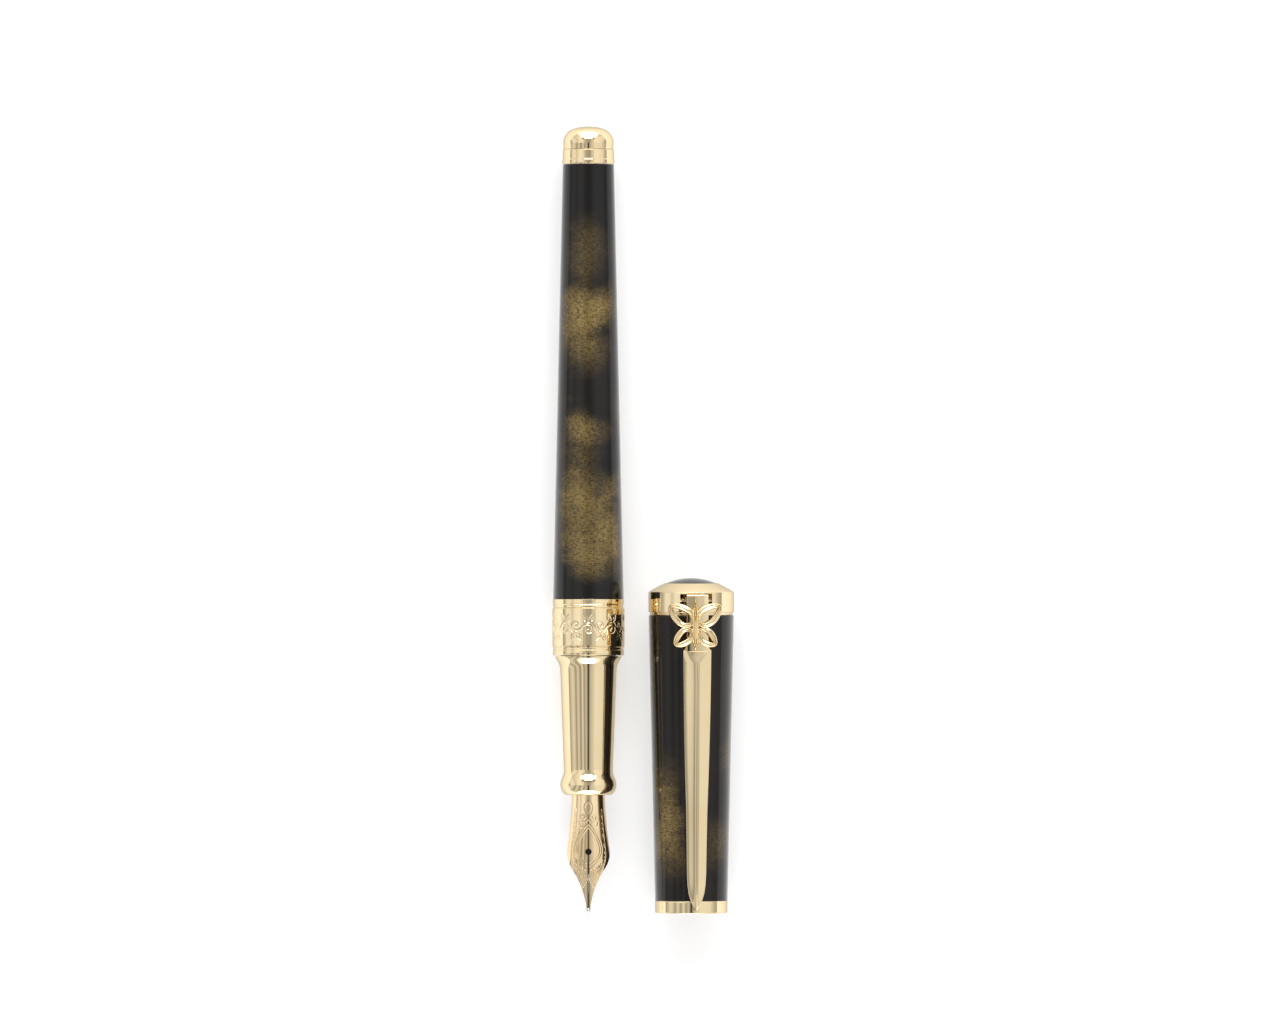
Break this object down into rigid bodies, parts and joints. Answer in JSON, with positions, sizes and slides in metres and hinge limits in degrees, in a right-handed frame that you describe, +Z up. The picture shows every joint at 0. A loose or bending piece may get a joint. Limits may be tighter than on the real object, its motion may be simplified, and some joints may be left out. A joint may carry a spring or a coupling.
{
  "type": "fountain pen",
  "caption": "Open metal fountain pen with gilt grip, band and tail, mottled dark lacquer barrel and cap, and a ridged clip with an openwork ornament; the cap lies beside the pen.",
  "frame": {"origin": "on the table, under the middle of the whole object's box", "axes": "+Z up from the table; +Y from the nib to the pen's tail, the longest way; +X from the pen to the cap lying beside it. The pen's and the cap's axes slope down from +Y by 0.63 degrees, the pen towards its tail and the cap towards its mouth"},
  "size_m": [0.03, 0.1301, 0.0174],
  "materials": {
    "gold_polished": "mirror-polished pale gold plating",
    "gold_nib": "polished gold nib with fine engraved lines",
    "tipping": "hard bright tipping alloy",
    "lacquer": "deep gloss black-brown lacquer with clouds of gold dust",
    "jewel": "polished black cabochon",
    "ebonite": "satin black",
    "inner_plastic": "moulded black plastic",
    "raw_brass": "turned brass",
    "seal": "soft rubber",
    "clear_plastic": "clear moulded plastic",
    "steel": "bright drawn steel"
  },
  "bodies": {
    "section": {"grip_section": "gold_polished", "section_thread_collar": "raw_brass", "section_seal_ring": "seal", "nib_housing": "inner_plastic", "nib": "gold_nib", "nib_tipping": "tipping", "feed": "ebonite"},
    "thread_bush": {"barrel_thread_bush": "raw_brass"},
    "tail": {"tail_ring": "gold_polished", "tail_cap": "gold_polished", "tail_stud": "raw_brass"},
    "barrel": {"center_band": "gold_polished", "barrel_shell": "lacquer"},
    "converter": {"converter_mouthpiece": "inner_plastic", "converter_reservoir": "clear_plastic", "converter_sleeve": "gold_polished"},
    "knob": {"converter_knob": "inner_plastic", "converter_screw": "steel"},
    "piston": {"piston_head": "seal", "piston_carrier": "inner_plastic"},
    "snap_ring": {"cap_snap_ring": "steel"},
    "cap": {"cap_mouth_ring": "gold_polished", "cap_tube": "lacquer", "cap_inner_liner": "inner_plastic", "cap_head": "gold_polished", "cap_head_screw": "steel", "cap_jewel": "jewel", "clip_pin": "steel", "clip_spring": "steel"},
    "clip": {"clip_lever": "raw_brass", "clip_arm": "gold_polished", "clip_ornament": "gold_polished"}
  },
  "joints": [
    {"name": "barrel_draw_off", "type": "slide", "parent": "section", "child": "thread_bush", "axis": [0, 0.9999, -0.011], "range_m": [0, 0.078]},
    {"name": "barrel_thread_travel", "type": "slide", "parent": "thread_bush", "child": "tail", "axis": [0, 0.9999, -0.011], "range_m": [0, 0.00321]},
    {"name": "barrel_turn", "type": "hinge", "parent": "tail", "child": "barrel", "pos_m": [-0.00907, -0.005, 0.00586], "axis": [0, -0.9999, 0.011], "range_deg": [0, 1440]},
    {"name": "converter_pull", "type": "slide", "parent": "section", "child": "converter", "axis": [0, 0.9999, -0.011], "range_m": [0, 0.007]},
    {"name": "converter_knob_turn", "type": "hinge", "parent": "converter", "child": "knob", "pos_m": [-0.00907, -0.005, 0.00586], "axis": [0, 0.9999, -0.011], "range_deg": [0, 1620]},
    {"name": "piston_travel", "type": "slide", "parent": "converter", "child": "piston", "axis": [0, 0.9999, -0.011], "range_m": [0, 0.01801]},
    {"name": "cap_swing", "type": "hinge", "parent": "section", "child": "snap_ring", "pos_m": [-0.00056, -0.0663, 0.006], "axis": [0, 0, -1], "range_deg": [0, 180]},
    {"name": "cap_push", "type": "slide", "parent": "snap_ring", "child": "cap", "axis": [0, -0.9999, -0.011], "range_m": [0, 0.0449]},
    {"name": "clip_lift", "type": "hinge", "parent": "cap", "child": "clip", "pos_m": [0.00846, -0.0133, 0.01149], "axis": [-0.993, -0.0013, 0.1184], "range_deg": [0, 4], "stiffness_Nm_per_rad": 2, "springref_deg": -1.72, "deforming": ["clip_spring"]}
  ],
  "couplings": [
    {"joint": "barrel_thread_travel", "follows": "barrel_turn", "m_per_rad": 0.00012732},
    {"joint": "piston_travel", "follows": "converter_knob_turn", "m_per_rad": 0.00063662}
  ]
}
